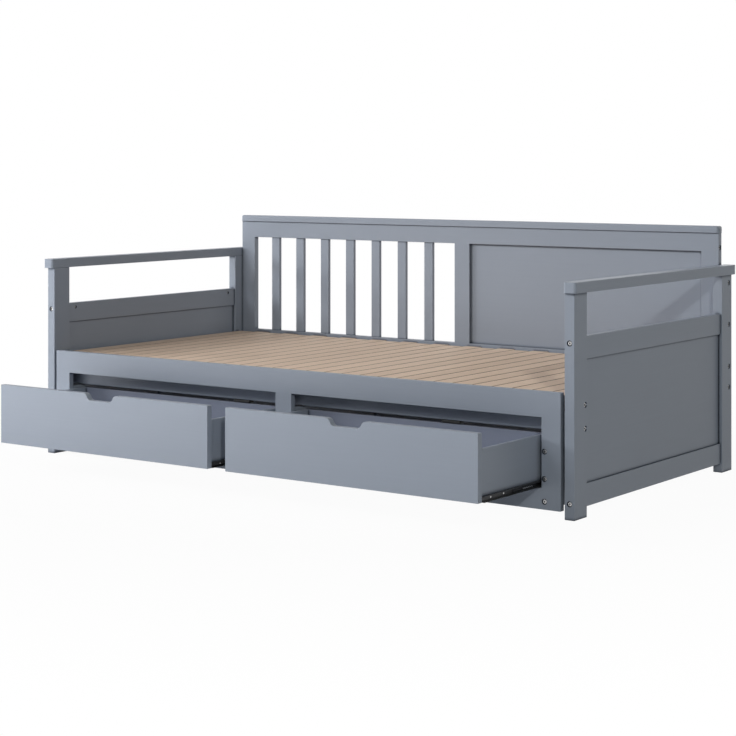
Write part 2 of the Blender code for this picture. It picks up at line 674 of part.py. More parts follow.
def make_drawer(label, side, frame):
    """A drawer on its two slides, drawn out as far as it stands open."""
    front_y = DRAWER_SHUT_FRONT - DRAWER_OPEN
    middle_x = side * (OPENING_OUTER + OPENING_INNER) / 2
    holder = carrier(label + "_drawer", (middle_x, front_y, DRAWER_FRONT_BOTTOM), frame)
    runner_front = SLIDE_START - DRAWER_OPEN / 2
    runner = carrier(label + "_slide_middles", (middle_x, runner_front, SLIDE_AXIS_HEIGHT), frame)
    outer_face = side * (OPENING_OUTER - SLIDE_SPACE)
    inner_face = side * (OPENING_INNER + SLIDE_SPACE)
    side_start = DRAWER_SIDE_START - DRAWER_OPEN
    side_end = DRAWER_SIDE_END - DRAWER_OPEN
    low, high = DRAWER_FRONT_BOTTOM, DRAWER_TOP

    def span(one, other):
        return min(one, other), max(one, other)

    front_x = span(side * (OPENING_INNER + DRAWER_INNER_ROOM), side * (OPENING_OUTER - DRAWER_OUTER_ROOM))
    sides_x = {"outer": span(outer_face, outer_face - side * DRAWER_SIDE_BOARD),
               "inner": span(inner_face, inner_face + side * DRAWER_SIDE_BOARD)}
    inside = span(outer_face - side * DRAWER_SIDE_BOARD, inner_face + side * DRAWER_SIDE_BOARD)
    floor = low + DRAWER_BOTTOM_RISE
    tongue = DRAWER_BOTTOM_TONGUE
    back_face = side_end - DRAWER_SIDE_BOARD
    bottom_box = ((inside[0] - tongue, side_start - tongue, floor),
                  (inside[1] + tongue, back_face + tongue, floor + DRAWER_BOTTOM_BOARD))
    groove = room_for(label + "_drawer_groove", bottom_box, holder)
    boards(label + "_drawer_bottom", [bottom_box], PAINT, holder, edge=0)

    front_box = ((front_x[0], front_y, low), (front_x[1], front_y + DRAWER_FRONT_BOARD, DRAWER_FRONT_TOP))
    front = boards(label + "_drawer_front", [front_box], PAINT, holder)
    notch = notch_cutter(label + "_notch", (front_x[0] + front_x[1]) / 2, holder)
    change(front, "DIFFERENCE", groove, notch)
    for place, (left, right) in sides_x.items():
        side_box = ((left, side_start, low), (right, side_end, high))
        change(boards(f"{label}_drawer_{place}_side", [side_box], PAINT, holder), "DIFFERENCE", groove)
    back_box = ((inside[0] + SEAT, back_face, low), (inside[1] - SEAT, side_end, high))
    change(boards(label + "_drawer_back", [back_box], PAINT, holder), "DIFFERENCE", groove)

    carriers = {"drawer": holder, "middle": runner, "board": frame}
    faces = {"outer": (side * OPENING_OUTER, outer_face), "inner": (side * OPENING_INNER, inner_face)}
    for place, (board_face, drawer_face) in faces.items():
        members = slide_values(board_face, drawer_face, DRAWER_OPEN)
        for member, values in members.items():
            channel(f"{label}_{place}_slide_{member}_member", *values, carriers[member])


def make_wheels(frame):
    """A wheel low on each outer drawer support, and the foot under the middle ones."""
    plate_x = OPENING_OUTER - SEAT
    wheel_near = BRACKET_STEEL + WHEEL_HUB_PROUD + SEAT
    wheel_middle = wheel_near + WHEEL_WIDTH / 2
    reach = wheel_middle + WHEEL_WIDTH / 2 + WHEEL_HUB_PROUD + SEAT
    half = WHEEL_WIDTH / 2
    rim = half - WHEEL_HUB_PROUD
    tread = rim - WHEEL_TREAD_ROUND
    shoulder = WHEEL_RADIUS - WHEEL_TREAD_ROUND
    bore = AXLE_RADIUS + AXLE_ROOM
    hub = (AXLE_END_RADIUS + WHEEL_RADIUS) / 2
    boss = half + WHEEL_HUB_PROUD
    end = reach + AXLE_END_THICKNESS
    wheel = turned_mesh("wheel", [(hub, rim), (shoulder, rim), (WHEEL_RADIUS, tread), (WHEEL_RADIUS, -tread),
                                  (shoulder, -rim), (hub, -rim), (AXLE_END_RADIUS, -boss), (bore, -boss),
                                  (bore, boss), (AXLE_END_RADIUS, boss), (hub, rim)], ROUND_SIDES)
    axle = turned_mesh("axle", [(0, end), (AXLE_END_RADIUS, end), (AXLE_END_RADIUS, reach),
                                (AXLE_RADIUS, reach), (AXLE_RADIUS, SEAT), (0, SEAT)], ROUND_SIDES)
    depth = SUPPORT_FRONT + WHEEL_PLACE
    for label, side in SIDES.items():
        near, far = sorted((side * plate_x, side * (plate_x - BRACKET_STEEL)))
        plate = ((near, depth - BRACKET_LENGTH / 2, BRACKET_FLOOR_ROOM),
                 (far, depth + BRACKET_LENGTH / 2, BRACKET_FLOOR_ROOM + BRACKET_HEIGHT))
        bracket = boards(label + "_wheel_bracket", [plate], BLACK_STEEL, frame, edge=BRACKET_STEEL / 4)
        stub = put(label + "_stub_axle", axle.copy(), (side * plate_x, depth, WHEEL_RADIUS), frame)
        stub.rotation_euler = facing((0, 0, 0), (-side, 0, 0)).to_euler()
        change(bracket, "UNION", stub)
        centre = (side * (plate_x - wheel_middle), depth, WHEEL_RADIUS)
        made = turned_piece(label + "_wheel", wheel.copy(), centre, BLACK_PLASTIC, frame)
        made.rotation_euler = facing((0, 0, 0), (1, 0, 0)).to_euler()
    top = FRAME_FLOOR_ROOM - SEAT
    foot = turned_mesh("foot", [(0, top), (FOOT_RADIUS, top), (FOOT_RADIUS, top - FOOT_PAD),
                                (FOOT_NECK_RADIUS, top - FOOT_PAD), (FOOT_NECK_RADIUS, FOOT_ROUND),
                                (FOOT_NECK_RADIUS - FOOT_ROUND, 0), (0, 0)], ROUND_SIDES)
    turned_piece("centre_glide_foot", foot, (0, depth, 0), BLACK_PLASTIC, frame)


def make_daybed():
    """The whole bed: the fixed frame, the pull-out frame and the two drawers in it."""
    fixed = carrier("bed_frame", (0, 0, 0))
    fixed.location = (0, -ORIGIN_DEPTH, 0)
    pull_out = carrier("pullout_frame", (0, 0, 0), fixed)

    drilled = drill_frame(fixed)
    for label, side in SIDES.items():
        make_arm(label, side, fixed, drilled)
    make_backrest(fixed, drilled)
    make_fixed_deck(fixed, drilled)

    make_front_frame(pull_out)
    make_moving_deck(pull_out)
    for label, side in SIDES.items():
        make_drawer(label, side, pull_out)
    make_wheels(pull_out)


BED, CUTTERS = start_scene()
PAINT = finish("grey_blue_paint", (0.27, 0.31, 0.37), 0.45, 0)
RAW_WOOD = finish("natural_wood", (0.58, 0.45, 0.32), 0.6, 0)
BLACK_STEEL = finish("black_steel", (0.03, 0.03, 0.035), 0.35, 1)
BLACK_PLASTIC = finish("black_plastic", (0.02, 0.02, 0.02), 0.5, 0)
make_daybed()
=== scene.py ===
"""The extendable daybed's looks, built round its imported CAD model.

Painted boards get rounded edges, grooves, bolt recesses and a satin finish over faint grain. The two
decks become separate planks. Bolts, barrel nuts, screws, stop blocks and slide details are added.
Sizes are in metres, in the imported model's frame: X to the right, Y to the backrest, Z up.
"""

import json
import math

import bmesh
import bpy
from mathutils import Euler, Matrix, Vector

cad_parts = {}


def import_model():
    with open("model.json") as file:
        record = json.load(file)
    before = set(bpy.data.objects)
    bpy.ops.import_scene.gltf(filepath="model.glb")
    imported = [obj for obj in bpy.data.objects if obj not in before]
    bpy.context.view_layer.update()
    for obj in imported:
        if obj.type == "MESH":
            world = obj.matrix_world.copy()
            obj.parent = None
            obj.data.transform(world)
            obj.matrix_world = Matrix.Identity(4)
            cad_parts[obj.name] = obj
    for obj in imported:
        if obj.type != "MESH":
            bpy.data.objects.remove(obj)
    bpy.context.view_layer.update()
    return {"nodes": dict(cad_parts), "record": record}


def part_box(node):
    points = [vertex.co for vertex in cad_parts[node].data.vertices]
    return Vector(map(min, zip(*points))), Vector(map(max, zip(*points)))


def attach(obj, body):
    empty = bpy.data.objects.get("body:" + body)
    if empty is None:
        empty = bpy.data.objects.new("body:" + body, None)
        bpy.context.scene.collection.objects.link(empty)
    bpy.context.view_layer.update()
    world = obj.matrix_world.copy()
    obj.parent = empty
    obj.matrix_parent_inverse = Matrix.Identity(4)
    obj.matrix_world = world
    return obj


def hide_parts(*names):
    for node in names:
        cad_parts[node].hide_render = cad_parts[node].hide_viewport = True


# Edges and gaps
BOARD_EDGE = 0.0010
BEAM_EDGE = 0.0040
PANEL_EDGE = 0.0004
CAP_CORNER = 0.0080
BACK_CAP_EDGE = 0.0040
ARM_CAP_EDGE = 0.0018
SLAT_EDGE = 0.0009
EDGE_STEPS = 3
CAP_STEPS = 7
SMOOTH_LIMIT = math.radians(40)
FLAT_LIMIT = 0.999
GROOVE_GAP = 0.0032
GROOVE_END_GAP = 0.0003
CREVICE_REACH = 0.014
OVERRUN = 0.002
WELD = 0.000001

# Bolts, barrel nuts and screws
HEAD_RADIUS = 0.0058
HEAD_HEIGHT = 0.0036
HEAD_BELOW = 0.0023
HEAD_ROUND = 0.0012
HEAD_SOFT_SHARE = 0.3
SOCKET_RADIUS = 0.0034
SOCKET_DEPTH = 0.0028
SOCKET_CONE_SHARE = 1.25
SOCKET_SIDES = 6
RECESS_RADIUS = 0.0082
RECESS_DEPTH = 0.0064
NUT_RADIUS = 0.0050
NUT_HOLE_RADIUS = 0.0053
NUT_LENGTH = 0.012
NUT_REACH = 0.036
NUT_SLOT_WIDTH = 0.0014
NUT_SLOT_DEPTH = 0.0012
NUT_HOLE_OUT = 0.024
ROUND_SIDES = 32
ARM_BOLT_BELOW_TOP = 0.015
ARM_BOLT_ABOVE_BOTTOM = 0.0165
BEAM_BOLT_FROM_EDGE = 0.0115
BACK_BOLT_HEIGHTS = (0.5905, 0.460, 0.328, 0.263)
BACK_TOP_BOLT_HEIGHT = 0.700
FACE_SCREW_HEIGHTS = (0.180, 0.105, 0.043)

# Planks
SLAT_WIDTH = 0.0615
SLAT_PITCH = 0.066
SLAT_FIRST_LEFT = -0.961
SLAT_THICKNESS = 0.015
REAR_BAR_BEFORE_END = 0.0153
PLANK_GAP = 0.0003
BACK_SLAT_WIDTH = 0.035
BACK_SLAT_COUNT = 7
BACK_SLAT_PITCH = 0.113
BACK_SLAT_FIRST_GAP = 0.078
BEARER_HEIGHT = 0.030
CLEAT_DEPTH = 0.028
LEDGE_DEPTH = 0.028
REAR_BAR_DEPTH = 0.037
CLEAT_END_GAP = 0.0186

# Drawer fronts
NOTCH_TOP_WIDTH = 0.115
NOTCH_BOTTOM_WIDTH = 0.095
NOTCH_DEPTH = 0.021
NOTCH_RADIUS = 0.0165
NOTCH_STEPS = 8

# Stop blocks under the front beam
STOP_PLACES = (-0.205, 0.566)
STOP_SIZE = (0.060, 0.024, 0.008)
STOP_EDGE = 0.0015
STOP_SCREW_SHARES = (0.6, 0.6, 0.4)

# Slide details
SLIDE_SCREW_RADIUS = 0.0028
SLIDE_SCREW_PLACES = (0.046, 0.112)
SLIDE_SCREW_THICKNESS = 0.0004
SLIDE_SCREW_TOP_SHARE = 0.75
SLIDE_SCREW_SIDES = 20
SLIDE_SPRING_PLACES = (0.050, 0.104)
SLIDE_SPRING_WAVES = 6
SLIDE_SPRING_STEPS = 8
SLIDE_SPRING_HEIGHT = 0.0030
SLIDE_SPRING_WIDTH = 0.0019
SLIDE_SPRING_THICKNESS = 0.0005
SLIDE_SPRING_LIFT = 0.0002
SLIDE_SPRING_BELOW_MIDDLE = 0.0010
SLIDE_STEEL = 0.0012

# Colours, linear, and pairs of tones that colours are multiplied by
PAINT = (0.284, 0.320, 0.387)
# A darker, bluer copy of the paint for the drawer backs: painted shade.
PAINT_SHADED_INSIDE = (0.222, 0.247, 0.326)
# Paler paint on rounded edges: partly wear, partly painted highlight.
PAINT_WEAR_AND_HIGHLIGHT = (0.345, 0.385, 0.455)
# A near-black for crevices, recesses and joints: painted shade.
PAINT_CREVICE_SHADE = (0.035, 0.042, 0.058)
PAINT_CLOUDS = ((0.992, 0.992, 0.992), (1.008, 1.008, 1.008))
PAINT_FLECKS = ((0.993, 0.993, 0.993), (1.006, 1.006, 1.006))
WOOD_LIGHT = (0.89, 0.69, 0.54)
WOOD_DARK = (0.72, 0.535, 0.40)
WOOD_FIBRE = (0.58, 0.41, 0.295)
# A dark brown for plank sides and a darker one for crevices: painted shade.
WOOD_SIDE_SHADE = (0.20, 0.125, 0.075)
WOOD_CREVICE_SHADE = (0.10, 0.058, 0.033)
WOOD_CLOUDS = ((0.96, 0.95, 0.94), (1.03, 1.03, 1.03))
SLAT_TONES = ((0.955, 0.945, 0.935), (1.03, 1.03, 1.03))
BLACK_STEEL = (0.022, 0.023, 0.025)
STEEL_DUST = (0.075, 0.078, 0.08)
BLACK_PLASTIC = (0.016, 0.016, 0.017)
PLASTIC_SCUFF = (0.05, 0.05, 0.052)
ZINC = (0.66, 0.66, 0.66)
ZINC_DULL = (0.36, 0.36, 0.37)
# A near-black for the bolt heads' recesses and sockets: painted shade.
HEAD_RECESS_SHADE = (0.020, 0.021, 0.023)
WHITE = (1, 1, 1, 1)

# Textures: the depths of relief
PAINT_GRAIN_DEPTH = 0.00006
PAINT_BRUSH_DEPTH = 0.000006
PAINT_PEEL_DEPTH = 0.000008
WOOD_RING_DEPTH = 0.00004
WOOD_FIBRE_DEPTH = 0.00006
STEEL_DRAWN_DEPTH = 0.00002
PLASTIC_SPARK_DEPTH = 0.00003
ZINC_TURNING_DEPTH = 0.00002

# Textures: spans of a noise or another value, alone or with the span that they become
NOISE_MIDDLE = (0.3, 0.7)
# How crevice openness becomes the share of the near-black: painted shade.
CREVICE_SHADE_SPANS = ((0.32, 0.88), (0.92, 0.0))
PAINT_FLECK_SPAN = (0.35, 0.65)
# Where the paler edge paint shows: partly wear, partly painted highlight.
PAINT_RUBBED_AND_LIT = ((0.42, 0.66), (0.0, 0.45))
# Reflection dimmed deep in crevices: painted shade.
PAINT_GLOSS_IN_SHADE = ((0.0, 0.6), (0.35, 0.02))
PAINT_ROUGHNESS = (0.40, 0.47)
WOOD_BANDS = ((0.15, 0.95), (0.0, 0.22))
WOOD_FIBRES = ((0.45, 0.75), (0.0, 0.30))
WOOD_PORES = ((0.62, 0.78), (0.0, 0.40))
WOOD_ROUGHNESS = (0.52, 0.66)
# How far a face points along X before it takes the dark side colour: painted shade.
SIDE_SHADE_FACING = (0.5, 0.9)
STEEL_DUSTY = ((0.52, 0.72), (0.0, 0.35))
STEEL_ROUGHNESS = (0.26, 0.40)
PLASTIC_SCUFFED = ((0.5, 0.75), (0.0, 0.3))
PLASTIC_ROUGHNESS = (0.42, 0.58)
ZINC_PATCHES = ((0.4, 0.65), (0.0, 0.6))
ZINC_ROUGHNESS = (0.24, 0.42)

# Textures: single values
CREVICE_SAMPLES = 8
WORN_ROUGHER = 0.08
# How far rounded wood edges are darkened: painted shade.
WOOD_EDGE_SHADE_SHARE = 0.35
WOOD_RINGS = 7.0
WOOD_SPECULAR = 0.3
SLAT_FIGURE_SHIFT = (0.4, 3.0, 0.4)
STEEL_METALLIC = 0.6

# Camera, as the photograph was taken
CAMERA_PLACE = (3.42103, -4.76314, 0.982305)
CAMERA_TURN = 0.6270
CAMERA_SENSOR = 36.0
CAMERA_LENS = 90.264
CAMERA_SHIFT = (0.03153, -0.28509)

# Lamps: name, place, target, size, watts and colour. The watts were fitted to the photograph's tones.
LAMPS = (
    ("left_key", (-14.0, -6.0, 4.6), (0.0, 0.0, 0.3), (3.0, 3.0), 1000.0, (1.0, 1.0, 1.0)),
    ("left_front", (-5.0, -11.0, 7.5), (0.0, 0.0, 0.3), (3.0, 3.0), 216.0, (1.0, 1.0, 1.0)),
    ("left_near", (-3.2, -3.2, 3.4), (0.0, 0.0, 0.3), (1.5, 1.5), 40.0, (1.0, 1.0, 1.0)),
    ("left_side", (-4.6, -0.4, 1.9), (0.0, 0.1, 0.4), (2.0, 1.6), 65.0, (1.0, 1.0, 1.0)),
    ("right_key", (7.72, -7.91, 5.73), (0.7, 0.3, 0.5), (0.55, 0.55), 315.0, (0.985, 1.0, 0.94)),
    ("right_front", (4.0, -11.0, 3.0), (0.0, 0.0, 0.3), (4.0, 3.0), 60.0, (1.0, 1.0, 1.0)),
    ("back_fill", (0.0, 4.5, 1.2), (0.0, 0.0, 0.3), (3.0, 2.0), 22.0, (1.0, 1.0, 1.0)),
    ("floor_glow_left", (-1.6, -2.2, 0.15), (-1.2, -0.5, 0.3), (1.2, 0.25), 6.8, (1.0, 1.0, 1.0)),
    ("floor_glow_side", (-2.6, -1.4, 0.14), (-0.8, -0.6, 0.25), (1.2, 0.22), 1.5, (1.0, 1.0, 1.0)),
    ("floor_glow_front", (-0.2, -1.7, 0.02), (-0.2, -1.7, 3.0), (3.2, 1.2), 6.5, (1.0, 1.0, 1.0)),
    ("floor_glow_corner", (-1.9, -1.5, 0.02), (-1.9, -1.5, 3.0), (1.4, 1.6), 7.0, (1.0, 1.0, 1.0)),
)
AMBIENT = (0.06, 0.06, 0.06)
FLOOR_TONES = ((0.792, 0.792, 0.792), (0.80, 0.80, 0.80))
FLOOR_SHOWN_WHITE = 0.96
FLOOR_NEAR = 1.2
FLOOR_FAR = 2.6
FLOOR_SIZE = 40.0

FRAME_BOARDS = ("left_stile", "centre_stile", "right_stile", "top_rail", "bottom_rail")
AXES = {"X": Vector((1, 0, 0)), "Y": Vector((0, 1, 0)), "Z": Vector((0, 0, 1))}


# Node helpers


def new_material(name):
    """An empty Principled material: the material, its tree and its shader."""
    made = bpy.data.materials.new(name)
    made.use_nodes = True
    return made, made.node_tree, made.node_tree.nodes["Principled BSDF"]


def add(tree, kind, settings=None, inputs=None):
    """A node with its settings, and its inputs set to values or linked from sockets."""
    made = tree.nodes.new("ShaderNode" + kind)
    for key, value in (settings or {}).items():
        setattr(made, key, value)
    for key, value in (inputs or {}).items():
        if isinstance(value, bpy.types.NodeSocket):
            tree.links.new(value, made.inputs[key])
        else:
            made.inputs[key].default_value = value
    return made


def maths(tree, operation, *values):
    """The result of a Math node on values or sockets."""
    return add(tree, "Math", {"operation": operation}, dict(enumerate(values))).outputs[0]


def noise(tree, vector, scale, detail=2.0, roughness=0.5, distortion=0.0):
    """A noise texture's value, about 0.5."""
    inputs = {"Vector": vector, "Scale": scale, "Detail": detail, "Roughness": roughness,
              "Distortion": distortion}
    return add(tree, "TexNoise", None, inputs).outputs["Fac"]


def spread(tree, value, span, new_span=(0.0, 1.0)):
    """A value moved from one span to another and kept within it."""
    inputs = {"Value": value, "From Min": span[0], "From Max": span[1],
              "To Min": new_span[0], "To Max": new_span[1]}
    return add(tree, "MapRange", {"clamp": True}, inputs).outputs["Result"]


def blend(tree, share, first, second, how="MIX"):
    """Two colours mixed by a share."""
    made = add(tree, "Mix", {"data_type": "RGBA", "blend_type": how})
    for index, value in ((0, share), (6, first), (7, second)):
        if isinstance(value, bpy.types.NodeSocket):
            tree.links.new(value, made.inputs[index])
        elif isinstance(value, tuple):
            made.inputs[index].default_value = (*value, 1.0)
        else:
            made.inputs[index].default_value = value
    return made.outputs[2]


def tinted(tree, colour, tone):
    """A colour multiplied by a tone."""
    return blend(tree, 1.0, colour, tone, "MULTIPLY")


def stretched(tree, place, axis, along, across):
    """Coordinates drawn out along one axis, for grain."""
    scale = [along if name == axis else across for name in AXES]
    return add(tree, "Mapping", None, {"Vector": place, "Scale": scale}).outputs["Vector"]


def bump(tree, height, distance, strength=1.0, normal=None):
    """A bump node's normal from a height."""
    inputs = {"Height": height, "Distance": distance, "Strength": strength}
    if normal is not None:
        inputs["Normal"] = normal
    return add(tree, "Bump", None, inputs).outputs["Normal"]


def object_place(tree):
    """A point's place in its object, in metres."""
    return add(tree, "TexCoord").outputs["Object"]


def crevice_shade(tree):
    """How deep in a crevice a point is, for the painted shade that darkens crevices, recesses and joints."""
    openness = add(tree, "AmbientOcclusion", {"samples": CREVICE_SAMPLES}, {"Distance": CREVICE_REACH})
    return spread(tree, openness.outputs["AO"], *CREVICE_SHADE_SPANS)


def edge_marks(tree):
    """1 on the faces that round an edge, and 0 elsewhere."""
    return add(tree, "Attribute", {"attribute_name": "edge_mark"}).outputs["Fac"]


def link_surface(tree, shader, colour, rough, normal):
    """Links a surface's colour, roughness and normal to its shader."""
    for name, source in (("Base Color", colour), ("Roughness", rough), ("Normal", normal)):
        tree.links.new(source, shader.inputs[name])


def shown_by_eye(tree):
    """1 for rays from the camera, straight or by reflection or through glass, and 0 for light."""
    rays = add(tree, "LightPath").outputs
    mirrored = maths(tree, "MAXIMUM", rays["Is Glossy Ray"], rays["Is Transmission Ray"])
    return maths(tree, "MAXIMUM", rays["Is Camera Ray"], mirrored)


# Materials


def paint(axis, name, base):
    """Satin paint over wood whose faint grain runs along an axis, with painted shade in its crevices."""
    made, tree, shader = new_material(name)
    place = object_place(tree)
    grained = stretched(tree, place, axis, along=4.0, across=150.0)
    grain = noise(tree, grained, scale=1.0, detail=3.0, roughness=0.55, distortion=0.4)
    cloud = noise(tree, place, scale=3.2)
    peel = noise(tree, place, scale=700.0, detail=1.0)
    brushed = noise(tree, stretched(tree, place, axis, along=14.0, across=900.0), scale=1.0, detail=1.0)

    colour = tinted(tree, base, blend(tree, spread(tree, cloud, NOISE_MIDDLE), *PAINT_CLOUDS))
    colour = tinted(tree, colour, blend(tree, spread(tree, grain, PAINT_FLECK_SPAN), *PAINT_FLECKS))
    # Rounded edges paler in patches: partly wear, partly painted highlight.
    rubbed_and_lit = noise(tree, place, scale=38.0, detail=4.0, roughness=0.65)
    edge_mark = maths(tree, "MULTIPLY", edge_marks(tree), spread(tree, rubbed_and_lit, *PAINT_RUBBED_AND_LIT))
    colour = blend(tree, edge_mark, colour, PAINT_WEAR_AND_HIGHLIGHT)
    # Painted shade: crevices, recesses and joints darkened toward a near-black, their reflection dimmed.
    crevice_shade_share = crevice_shade(tree)
    colour = blend(tree, crevice_shade_share, colour, PAINT_CREVICE_SHADE)
    tree.links.new(spread(tree, crevice_shade_share, *PAINT_GLOSS_IN_SHADE), shader.inputs["Specular IOR Level"])

    rough = spread(tree, brushed, NOISE_MIDDLE, PAINT_ROUGHNESS)
    rough = maths(tree, "ADD", rough, maths(tree, "MULTIPLY", edge_mark, WORN_ROUGHER))
    normal = bump(tree, grain, PAINT_GRAIN_DEPTH, strength=0.4)
    normal = bump(tree, brushed, PAINT_BRUSH_DEPTH, strength=0.5, normal=normal)
    normal = bump(tree, peel, PAINT_PEEL_DEPTH, strength=0.5, normal=normal)
    link_surface(tree, shader, colour, rough, normal)
    return made


def raw_wood(axis, name):
    """Planed pale wood with grain along an axis; each deck slat has a tone and figure of its own."""
    made, tree, shader = new_material(name)
    place = object_place(tree)
    parts = add(tree, "SeparateXYZ", None, {"Vector": place}).outputs
    past_first = maths(tree, "SUBTRACT", parts["X"], SLAT_FIRST_LEFT)
    row = maths(tree, "FLOOR", maths(tree, "DIVIDE", past_first, SLAT_PITCH))
    chance = add(tree, "TexWhiteNoise", {"noise_dimensions": "1D"}, {"W": row}).outputs
    shifted = add(tree, "VectorMath", {"operation": "MULTIPLY_ADD"},
                  {0: chance["Color"], 1: SLAT_FIGURE_SHIFT, 2: place}).outputs["Vector"]
    source = shifted if axis == "Y" else place

    rings = noise(tree, stretched(tree, source, axis, along=1.1, across=55.0), scale=1.0, distortion=0.5)
    bands = maths(tree, "PINGPONG", maths(tree, "MULTIPLY", rings, WOOD_RINGS), 1.0)
    fibred = stretched(tree, source, axis, along=18.0, across=900.0)
    fibre = noise(tree, fibred, scale=1.0, detail=3.0, roughness=0.6)
    pores = noise(tree, stretched(tree, source, axis, along=50.0, across=1500.0), scale=1.0, detail=1.0)
    cloud = noise(tree, stretched(tree, source, axis, along=2.0, across=9.0), scale=1.0)

    colour = blend(tree, spread(tree, bands, *WOOD_BANDS), WOOD_LIGHT, WOOD_DARK)
    colour = blend(tree, spread(tree, fibre, *WOOD_FIBRES), colour, WOOD_DARK)
    colour = blend(tree, spread(tree, pores, *WOOD_PORES), colour, WOOD_FIBRE)
    colour = tinted(tree, colour, blend(tree, spread(tree, cloud, NOISE_MIDDLE), *WOOD_CLOUDS))
    if axis == "Y":
        colour = tinted(tree, colour, blend(tree, chance["Value"], *SLAT_TONES))
    # Rounded edges darkened: painted shade that draws dark lines along the planks' gaps.
    colour = blend(tree, maths(tree, "MULTIPLY", edge_marks(tree), WOOD_EDGE_SHADE_SHARE), colour, WOOD_DARK)
    # Faces that point along X, the planks' sides, darkened: painted shade.
    facing = add(tree, "SeparateXYZ", None, {"Vector": add(tree, "NewGeometry").outputs["Normal"]}).outputs
    side_shade = spread(tree, maths(tree, "ABSOLUTE", facing["X"]), SIDE_SHADE_FACING)
    colour = blend(tree, side_shade, colour, WOOD_SIDE_SHADE)
    # Painted shade: gaps between planks and other crevices darkened toward a near-black brown.
    colour = blend(tree, crevice_shade(tree), colour, WOOD_CREVICE_SHADE)

    normal = bump(tree, bands, WOOD_RING_DEPTH, strength=0.4)
    normal = bump(tree, fibre, WOOD_FIBRE_DEPTH, strength=0.6, normal=normal)
    link_surface(tree, shader, colour, spread(tree, fibre, NOISE_MIDDLE, WOOD_ROUGHNESS), normal)
    shader.inputs["Specular IOR Level"].default_value = WOOD_SPECULAR
    return made


def black_steel():
    """Black coated steel with a faint drawn grain and dust."""
    made, tree, shader = new_material("black_steel")
    place = object_place(tree)
    drawn = noise(tree, stretched(tree, place, "Y", along=20.0, across=1200.0), scale=1.0)
    dust = noise(tree, place, scale=260.0, detail=4.0, roughness=0.7)
    colour = blend(tree, spread(tree, dust, *STEEL_DUSTY), BLACK_STEEL, STEEL_DUST)
    rough = spread(tree, drawn, NOISE_MIDDLE, STEEL_ROUGHNESS)
    link_surface(tree, shader, colour, rough, bump(tree, drawn, STEEL_DRAWN_DEPTH, strength=0.6))
    shader.inputs["Metallic"].default_value = STEEL_METALLIC
    return made


def black_plastic():
    """Black moulded plastic with a fine spark-eroded texture."""
    made, tree, shader = new_material("black_plastic")
    place = object_place(tree)
    spark = noise(tree, place, scale=1400.0)
    scuff = noise(tree, place, scale=90.0, detail=5.0, roughness=0.7)
    colour = blend(tree, spread(tree, scuff, *PLASTIC_SCUFFED), BLACK_PLASTIC, PLASTIC_SCUFF)
    rough = spread(tree, scuff, NOISE_MIDDLE, PLASTIC_ROUGHNESS)
    link_surface(tree, shader, colour, rough, bump(tree, spark, PLASTIC_SPARK_DEPTH, strength=0.7))
    return made


def zinc_steel(name, shaded_in_recess):
    """Zinc-plated steel with turning marks and dull patches, and painted shade where it sits in a recess."""
    made, tree, shader = new_material(name)
    place = object_place(tree)
    patches = noise(tree, place, scale=420.0, detail=3.0, roughness=0.6)
    turning = noise(tree, place, scale=2600.0, detail=1.0)
    colour = blend(tree, spread(tree, patches, *ZINC_PATCHES), ZINC, ZINC_DULL)
    # Painted shade in the recesses and sockets that the heads sit in.
    if shaded_in_recess:
        colour = blend(tree, crevice_shade(tree), colour, HEAD_RECESS_SHADE)
    rough = spread(tree, patches, NOISE_MIDDLE, ZINC_ROUGHNESS)
    link_surface(tree, shader, colour, rough, bump(tree, turning, ZINC_TURNING_DEPTH, strength=0.4))
    shader.inputs["Metallic"].default_value = 1.0
    return made


# Mesh makers


def round_edges(work, edges, radius, steps):
    """Edges rounded by a radius, in a few steps."""
    bmesh.ops.bevel(work, geom=edges, offset=radius, segments=steps, profile=0.5, affect="EDGES",
                    clamp_overlap=True)


def box_work(low, high):
    """A box between two corners, ready to be worked on."""
    work = bmesh.new()
    grown = Matrix.Diagonal((Vector(high) - Vector(low)).to_4d())
    grown.translation = (Vector(low) + Vector(high)) / 2
    bmesh.ops.create_cube(work, size=1, matrix=grown)
    return work


def rounded_box(low, high, radius, steps=EDGE_STEPS):
    """A box between two corners with all its edges rounded."""
    work = box_work(low, high)
    round_edges(work, work.edges[:], radius, steps)
    return work


def frame_work(low, high, openings, radius):
    """A flat frame that stands in X and Z, with openings given as left, right, bottom and top."""
    across = sorted({low.x, high.x, *(edge for gap in openings for edge in gap[:2])})
    upward = sorted({low.z, high.z, *(edge for gap in openings for edge in gap[2:])})
    work = bmesh.new()
    corners = {(x, z): work.verts.new((x, low.y, z)) for x in across for z in upward}
    for left, right in zip(across, across[1:]):
        for bottom, top in zip(upward, upward[1:]):
            x, z = (left + right) / 2, (bottom + top) / 2
            if any(gap[0] < x < gap[1] and gap[2] < z < gap[3] for gap in openings):
                continue
            loop = ((left, bottom), (right, bottom), (right, top), (left, top))
            work.faces.new([corners[key] for key in loop])
    return thickened(work, high.y - low.y, radius)


def thickened(work, depth, radius):
    """A flat outline in X and Z pulled out along Y, its edges rounded."""
    deeper = bmesh.ops.extrude_face_region(work, geom=work.faces[:])["geom"]
    moved = [item for item in deeper if isinstance(item, bmesh.types.BMVert)]
    bmesh.ops.translate(work, vec=(0, depth, 0), verts=moved)
    bmesh.ops.recalc_face_normals(work, faces=work.faces)
    sharp = [edge for edge in work.edges if edge.calc_face_angle(0) > SMOOTH_LIMIT]
    round_edges(work, sharp, radius, EDGE_STEPS)
    return work


